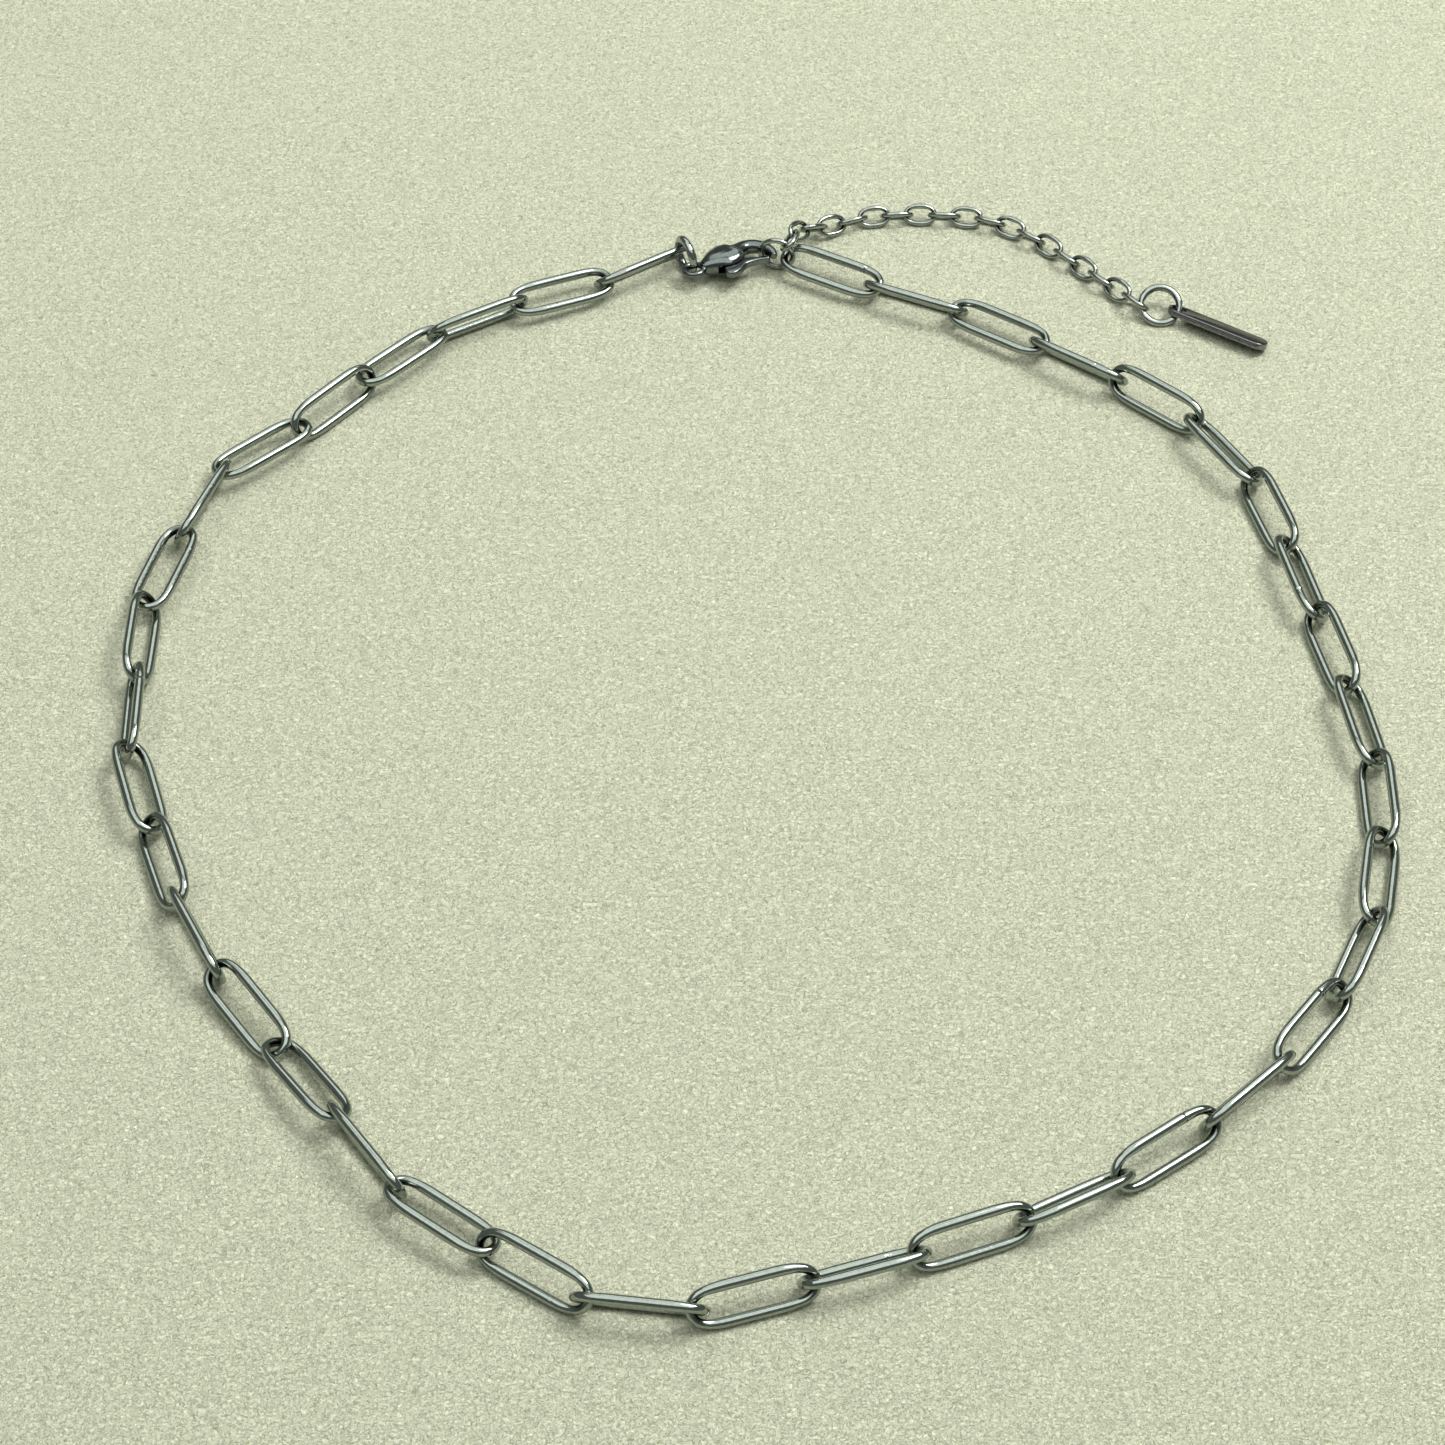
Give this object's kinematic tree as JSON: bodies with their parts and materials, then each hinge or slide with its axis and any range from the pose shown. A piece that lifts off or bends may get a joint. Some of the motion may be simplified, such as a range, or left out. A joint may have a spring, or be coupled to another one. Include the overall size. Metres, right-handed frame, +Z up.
{
  "type": "chain necklace",
  "caption": "Paperclip-link chain necklace closed by a lobster clasp, with a fine extender chain and a flat bar tag, lying in an open loop.",
  "frame": {"origin": "middle of the footprint of the laid-out necklace, on the surface it lies on", "axes": "+Z up from that surface, +Y from the front of the loop towards the clasp, +X to the right seen from the front"},
  "size_m": [0.1364, 0.1628, 0.005],
  "materials": {
    "link_steel": "polished steel with fine handling scratches",
    "ring_steel": "polished steel wire",
    "extender_steel": "polished steel wire",
    "clasp_steel": "cast steel, polished dark",
    "pin_steel": "turned steel",
    "spring_steel": "spring wire",
    "tag_steel": "satin steel, plain faces"
  },
  "bodies": {
    "link_01": {"link_01": "link_steel"},
    "link_02": {"link_02": "link_steel"},
    "link_03": {"link_03": "link_steel"},
    "link_04": {"link_04": "link_steel"},
    "link_05": {"link_05": "link_steel"},
    "link_06": {"link_06": "link_steel"},
    "link_07": {"link_07": "link_steel"},
    "link_08": {"link_08": "link_steel"},
    "link_09": {"link_09": "link_steel"},
    "link_10": {"link_10": "link_steel"},
    "link_11": {"link_11": "link_steel"},
    "link_12": {"link_12": "link_steel"},
    "link_13": {"link_13": "link_steel"},
    "link_14": {"link_14": "link_steel"},
    "link_15": {"link_15": "link_steel"},
    "link_16": {"link_16": "link_steel"},
    "link_17": {"link_17": "link_steel"},
    "link_18": {"link_18": "link_steel"},
    "link_19": {"link_19": "link_steel"},
    "link_20": {"link_20": "link_steel"},
    "link_21": {"link_21": "link_steel"},
    "link_22": {"link_22": "link_steel"},
    "link_23": {"link_23": "link_steel"},
    "link_24": {"link_24": "link_steel"},
    "link_25": {"link_25": "link_steel"},
    "link_26": {"link_26": "link_steel"},
    "link_27": {"link_27": "link_steel"},
    "link_28": {"link_28": "link_steel"},
    "link_29": {"link_29": "link_steel"},
    "link_30": {"link_30": "link_steel"},
    "link_31": {"link_31": "link_steel"},
    "link_32": {"link_32": "link_steel"},
    "link_33": {"link_33": "link_steel"},
    "link_34": {"link_34": "link_steel"},
    "link_35": {"link_35": "link_steel"},
    "link_36": {"link_36": "link_steel"},
    "link_37": {"link_37": "link_steel"},
    "link_38": {"link_38": "link_steel"},
    "link_39": {"link_39": "link_steel"},
    "clasp_ring": {"clasp_ring": "ring_steel"},
    "clasp": {"clasp_body": "clasp_steel", "clasp_pin": "pin_steel", "clasp_spring": "spring_steel"},
    "clasp_lever": {"clasp_lever": "clasp_steel"},
    "end_ring": {"end_ring": "ring_steel"},
    "extender_01": {"extender_01": "extender_steel"},
    "extender_02": {"extender_02": "extender_steel"},
    "extender_03": {"extender_03": "extender_steel"},
    "extender_04": {"extender_04": "extender_steel"},
    "extender_05": {"extender_05": "extender_steel"},
    "extender_06": {"extender_06": "extender_steel"},
    "extender_07": {"extender_07": "extender_steel"},
    "extender_08": {"extender_08": "extender_steel"},
    "extender_09": {"extender_09": "extender_steel"},
    "extender_10": {"extender_10": "extender_steel"},
    "extender_11": {"extender_11": "extender_steel"},
    "extender_12": {"extender_12": "extender_steel"},
    "extender_13": {"extender_13": "extender_steel"},
    "tag_ring": {"tag_ring": "ring_steel"},
    "bar_tag": {"bar_tag": "tag_steel"}
  },
  "joints": [
    {"name": "link_19_turn", "type": "hinge", "parent": "link_20", "child": "link_19", "pos_m": [-0.00488, -0.08013, 0.00214], "axis": [0, 0, -1], "range_deg": [-11.95, 11.95]},
    {"name": "link_18_turn", "type": "hinge", "parent": "link_19", "child": "link_18", "pos_m": [-0.01578, -0.07883, 0.00214], "axis": [0, 0, -1], "range_deg": [-12.01, 12.01]},
    {"name": "link_17_turn", "type": "hinge", "parent": "link_18", "child": "link_17", "pos_m": [-0.02496, -0.07281, 0.00205], "axis": [0, 0, -1], "range_deg": [-12.01, 12.01]},
    {"name": "link_16_turn", "type": "hinge", "parent": "link_17", "child": "link_16", "pos_m": [-0.03385, -0.06637, 0.00233], "axis": [0, 0, -1], "range_deg": [-9.43, 9.43]},
    {"name": "link_15_turn", "type": "hinge", "parent": "link_16", "child": "link_15", "pos_m": [-0.04035, -0.05752, 0.00233], "axis": [0, 0, 1], "range_deg": [-11.67, 11.67]},
    {"name": "link_14_turn", "type": "hinge", "parent": "link_15", "child": "link_14", "pos_m": [-0.04691, -0.04872, 0.00144], "axis": [0, 0, 1], "range_deg": [-11.95, 11.95]},
    {"name": "link_13_turn", "type": "hinge", "parent": "link_14", "child": "link_13", "pos_m": [-0.05359, -0.04001, 0.00233], "axis": [0, 0, 1], "range_deg": [-11.85, 11.85]},
    {"name": "link_12_turn", "type": "hinge", "parent": "link_13", "child": "link_12", "pos_m": [-0.05868, -0.03028, 0.00233], "axis": [0, 0, 1], "range_deg": [-11.57, 11.57]},
    {"name": "link_11_turn", "type": "hinge", "parent": "link_12", "child": "link_11", "pos_m": [-0.06245, -0.01997, 0.00184], "axis": [0, 0, -1], "range_deg": [-12.01, 12.01]},
    {"name": "link_10_turn", "type": "hinge", "parent": "link_11", "child": "link_10", "pos_m": [-0.06587, -0.00954, 0.00222], "axis": [0, 0, 1], "range_deg": [-11.92, 11.92]},
    {"name": "link_09_turn", "type": "hinge", "parent": "link_10", "child": "link_09", "pos_m": [-0.06624, 0.00143, 0.00222], "axis": [0, 0, -1], "range_deg": [-12, 12]},
    {"name": "link_08_turn", "type": "hinge", "parent": "link_09", "child": "link_08", "pos_m": [-0.06621, 0.01241, 0.00205], "axis": [0, 0, -1], "range_deg": [-11.94, 11.94]},
    {"name": "link_07_turn", "type": "hinge", "parent": "link_08", "child": "link_07", "pos_m": [-0.06342, 0.02303, 0.00222], "axis": [0, 0, -1], "range_deg": [-11.99, 11.99]},
    {"name": "link_06_turn", "type": "hinge", "parent": "link_07", "child": "link_06", "pos_m": [-0.05974, 0.03337, 0.00222], "axis": [0, 0, -1], "range_deg": [-11.93, 11.93]},
    {"name": "link_05_turn", "type": "hinge", "parent": "link_06", "child": "link_05", "pos_m": [-0.05151, 0.04064, 0.00222], "axis": [0, 0, -1], "range_deg": [-3.94, 3.94]},
    {"name": "link_04_turn", "type": "hinge", "parent": "link_05", "child": "link_04", "pos_m": [-0.04442, 0.04902, 0.00222], "axis": [0, 0, -1], "range_deg": [-12.01, 12.01]},
    {"name": "link_03_turn", "type": "hinge", "parent": "link_04", "child": "link_03", "pos_m": [-0.03677, 0.05689, 0.00222], "axis": [0, 0, -1], "range_deg": [-11.96, 11.96]},
    {"name": "link_02_turn", "type": "hinge", "parent": "link_03", "child": "link_02", "pos_m": [-0.02726, 0.06238, 0.00222], "axis": [0, 0, -1], "range_deg": [-11.88, 11.88]},
    {"name": "link_01_turn", "type": "hinge", "parent": "link_02", "child": "link_01", "pos_m": [-0.01724, 0.06687, 0.00184], "axis": [0, 0, -1], "range_deg": [-11.96, 11.96]},
    {"name": "clasp_ring_turn", "type": "hinge", "parent": "link_01", "child": "clasp_ring", "pos_m": [-0.00839, 0.07265, 0.0025], "axis": [0, 0, -1], "range_deg": [-8.87, 8.87]},
    {"name": "clasp_on_ring", "type": "hinge", "parent": "clasp_ring", "child": "clasp", "pos_m": [-0.00648, 0.06891, 0.00195], "axis": [0, 0, 1], "range_deg": [-11.92, 11.92]},
    {"name": "link_21_turn", "type": "hinge", "parent": "link_20", "child": "link_21", "pos_m": [0.00562, -0.0769, 0.00205], "axis": [0, 0, 1], "range_deg": [-12.01, 12.01]},
    {"name": "link_22_turn", "type": "hinge", "parent": "link_21", "child": "link_22", "pos_m": [0.01607, -0.07354, 0.00205], "axis": [0, 0, -1], "range_deg": [-8.63, 8.63]},
    {"name": "link_23_turn", "type": "hinge", "parent": "link_22", "child": "link_23", "pos_m": [0.0263, -0.06958, 0.00205], "axis": [0, 0, -1], "range_deg": [-11.95, 11.95]},
    {"name": "link_24_turn", "type": "hinge", "parent": "link_23", "child": "link_24", "pos_m": [0.03599, -0.0644, 0.00195], "axis": [0, 0, -1], "range_deg": [-12.01, 12.01]},
    {"name": "link_25_turn", "type": "hinge", "parent": "link_24", "child": "link_25", "pos_m": [0.04493, -0.05804, 0.00222], "axis": [0, 0, -1], "range_deg": [-11.98, 11.98]},
    {"name": "link_26_turn", "type": "hinge", "parent": "link_25", "child": "link_26", "pos_m": [0.05288, -0.05047, 0.00222], "axis": [0, 0, -1], "range_deg": [-11.94, 11.94]},
    {"name": "link_27_turn", "type": "hinge", "parent": "link_26", "child": "link_27", "pos_m": [0.05944, -0.04166, 0.00195], "axis": [0, 0, -1], "range_deg": [-12.01, 12.01]},
    {"name": "link_28_turn", "type": "hinge", "parent": "link_27", "child": "link_28", "pos_m": [0.064, -0.03168, 0.00195], "axis": [0, 0, -1], "range_deg": [-11.96, 11.96]},
    {"name": "link_29_turn", "type": "hinge", "parent": "link_28", "child": "link_29", "pos_m": [0.06613, -0.02091, 0.00184], "axis": [0, 0, -1], "range_deg": [-11.99, 11.99]},
    {"name": "link_30_turn", "type": "hinge", "parent": "link_29", "child": "link_30", "pos_m": [0.0664, -0.00993, 0.00184], "axis": [0, 0, -1], "range_deg": [-11.89, 11.89]},
    {"name": "link_31_turn", "type": "hinge", "parent": "link_30", "child": "link_31", "pos_m": [0.06471, 0.00092, 0.00195], "axis": [0, 0, 1], "range_deg": [-12, 12]},
    {"name": "link_32_turn", "type": "hinge", "parent": "link_31", "child": "link_32", "pos_m": [0.0625, 0.01167, 0.00195], "axis": [0, 0, -1], "range_deg": [-11.9, 11.9]},
    {"name": "link_33_turn", "type": "hinge", "parent": "link_32", "child": "link_33", "pos_m": [0.06025, 0.02241, 0.00195], "axis": [0, 0, 1], "range_deg": [-12.02, 12.02]},
    {"name": "link_34_turn", "type": "hinge", "parent": "link_33", "child": "link_34", "pos_m": [0.05735, 0.033, 0.00195], "axis": [0, 0, 1], "range_deg": [-12.01, 12.01]},
    {"name": "link_35_turn", "type": "hinge", "parent": "link_34", "child": "link_35", "pos_m": [0.05154, 0.04231, 0.00222], "axis": [0, 0, 1], "range_deg": [-11.91, 11.91]},
    {"name": "link_36_turn", "type": "hinge", "parent": "link_35", "child": "link_36", "pos_m": [0.04323, 0.04949, 0.00222], "axis": [0, 0, 1], "range_deg": [-11.92, 11.92]},
    {"name": "link_37_turn", "type": "hinge", "parent": "link_36", "child": "link_37", "pos_m": [0.03431, 0.05588, 0.00195], "axis": [0, 0, -1], "range_deg": [-11.98, 11.98]},
    {"name": "link_38_turn", "type": "hinge", "parent": "link_37", "child": "link_38", "pos_m": [0.02508, 0.06184, 0.00184], "axis": [0, 0, -1], "range_deg": [-12, 12]},
    {"name": "link_39_turn", "type": "hinge", "parent": "link_38", "child": "link_39", "pos_m": [0.01502, 0.06623, 0.00184], "axis": [0, 0, -1], "range_deg": [-12.02, 12.02]},
    {"name": "end_ring_turn", "type": "hinge", "parent": "link_39", "child": "end_ring", "pos_m": [0.00521, 0.07116, 0.00215], "axis": [0, 0, -1], "range_deg": [-12.01, 12.01]},
    {"name": "clasp_lever_pivot", "type": "hinge", "parent": "clasp", "child": "clasp_lever", "pos_m": [-0.00184, 0.06991, 0.00204], "axis": [-0.0476, 0.1308, 0.9903], "range_deg": [0, 9], "stiffness_Nm_per_rad": 0.0005, "springref_deg": -11.46},
    {"name": "extender_01_turn", "type": "hinge", "parent": "end_ring", "child": "extender_01", "pos_m": [0.00468, 0.07086, 0.00399], "axis": [0, 0, 1], "range_deg": [-6, 18]},
    {"name": "extender_02_turn", "type": "hinge", "parent": "extender_01", "child": "extender_02", "pos_m": [0.00547, 0.07356, 0.00365], "axis": [0, 0, -1], "range_deg": [-10, 10]},
    {"name": "extender_03_turn", "type": "hinge", "parent": "extender_02", "child": "extender_03", "pos_m": [0.00694, 0.07578, 0.00269], "axis": [0, 0, 1], "range_deg": [-10, 10]},
    {"name": "extender_04_turn", "type": "hinge", "parent": "extender_03", "child": "extender_04", "pos_m": [0.00898, 0.07736, 0.0015], "axis": [0, 0, -1], "range_deg": [-10, 10]},
    {"name": "extender_05_turn", "type": "hinge", "parent": "extender_04", "child": "extender_05", "pos_m": [0.01143, 0.0787, 0.00107], "axis": [0, 0, 1], "range_deg": [-10, 10]},
    {"name": "extender_06_turn", "type": "hinge", "parent": "extender_05", "child": "extender_06", "pos_m": [0.01408, 0.0797, 0.00107], "axis": [0, 0, -1], "range_deg": [-10, 10]},
    {"name": "extender_07_turn", "type": "hinge", "parent": "extender_06", "child": "extender_07", "pos_m": [0.01687, 0.08021, 0.00107], "axis": [0, 0, 1], "range_deg": [-10, 10]},
    {"name": "extender_08_turn", "type": "hinge", "parent": "extender_07", "child": "extender_08", "pos_m": [0.0197, 0.08041, 0.00107], "axis": [0, 0, -1], "range_deg": [-10, 10]},
    {"name": "extender_09_turn", "type": "hinge", "parent": "extender_08", "child": "extender_09", "pos_m": [0.02536, 0.08017, 0.00107], "axis": [0, 0, 1], "range_deg": [-10, 10]},
    {"name": "extender_10_turn", "type": "hinge", "parent": "extender_09", "child": "extender_10", "pos_m": [0.03083, 0.07874, 0.00107], "axis": [0, 0, -1], "range_deg": [-10, 10]},
    {"name": "extender_11_turn", "type": "hinge", "parent": "extender_10", "child": "extender_11", "pos_m": [0.03553, 0.07559, 0.00107], "axis": [0, 0, 1], "range_deg": [-10, 10]},
    {"name": "extender_12_turn", "type": "hinge", "parent": "extender_11", "child": "extender_12", "pos_m": [0.03952, 0.07157, 0.00107], "axis": [0, 0, -1], "range_deg": [-10, 10]},
    {"name": "extender_13_turn", "type": "hinge", "parent": "extender_12", "child": "extender_13", "pos_m": [0.04337, 0.0674, 0.00121], "axis": [0, 0, 1], "range_deg": [-10, 10]},
    {"name": "tag_ring_turn", "type": "hinge", "parent": "extender_13", "child": "tag_ring", "pos_m": [0.04714, 0.06317, 0.00145], "axis": [0, 0, -1], "range_deg": [-12, 12]},
    {"name": "bar_tag_turn", "type": "hinge", "parent": "tag_ring", "child": "bar_tag", "pos_m": [0.05138, 0.06272, 0.00103], "axis": [0, 0, 1], "range_deg": [-16, 16]}
  ],
  "couplings": [
    {"joint": "link_19_turn", "follows": "link_07_turn", "ratio": -0.9956},
    {"joint": "link_18_turn", "follows": "link_37_turn", "ratio": 1.0015},
    {"joint": "link_17_turn", "follows": "link_37_turn", "ratio": -1.002},
    {"joint": "link_16_turn", "follows": "clasp_ring_turn", "ratio": -1.0614},
    {"joint": "link_15_turn", "follows": "link_12_turn", "ratio": -1.008},
    {"joint": "link_14_turn", "follows": "link_35_turn", "ratio": -1.0023},
    {"joint": "link_13_turn", "follows": "link_35_turn", "ratio": 0.9943},
    {"joint": "link_11_turn", "follows": "link_09_turn", "ratio": -0.9994},
    {"joint": "link_06_turn", "follows": "link_08_turn", "ratio": -0.998},
    {"joint": "link_05_turn", "follows": "clasp_ring_turn", "ratio": 0.4431},
    {"joint": "link_04_turn", "follows": "link_03_turn", "ratio": -1.003},
    {"joint": "link_01_turn", "follows": "link_02_turn", "ratio": -1.0054},
    {"joint": "clasp_on_ring", "follows": "link_10_turn", "ratio": -0.9985},
    {"joint": "link_21_turn", "follows": "link_10_turn", "ratio": 1.0068},
    {"joint": "link_22_turn", "follows": "clasp_ring_turn", "ratio": -0.9717},
    {"joint": "link_23_turn", "follows": "link_02_turn", "ratio": 1.005},
    {"joint": "link_24_turn", "follows": "link_02_turn", "ratio": -1.0104},
    {"joint": "link_25_turn", "follows": "link_03_turn", "ratio": -0.9998},
    {"joint": "link_26_turn", "follows": "link_03_turn", "ratio": 0.9967},
    {"joint": "link_27_turn", "follows": "link_08_turn", "ratio": 1.0047},
    {"joint": "link_28_turn", "follows": "link_07_turn", "ratio": -0.9966},
    {"joint": "link_29_turn", "follows": "link_08_turn", "ratio": -1.0028},
    {"joint": "link_30_turn", "follows": "link_09_turn", "ratio": -0.99},
    {"joint": "link_31_turn", "follows": "link_10_turn", "ratio": -1.0053},
    {"joint": "link_32_turn", "follows": "link_09_turn", "ratio": 0.9906},
    {"joint": "link_33_turn", "follows": "link_12_turn", "ratio": -1.0376},
    {"joint": "link_34_turn", "follows": "link_35_turn", "ratio": -1.0079},
    {"joint": "link_36_turn", "follows": "link_12_turn", "ratio": 1.0296},
    {"joint": "link_38_turn", "follows": "link_37_turn", "ratio": -1.0005},
    {"joint": "link_39_turn", "follows": "clasp_ring_turn", "ratio": 1.3534},
    {"joint": "end_ring_turn", "follows": "link_07_turn", "ratio": 1.001}
  ]
}
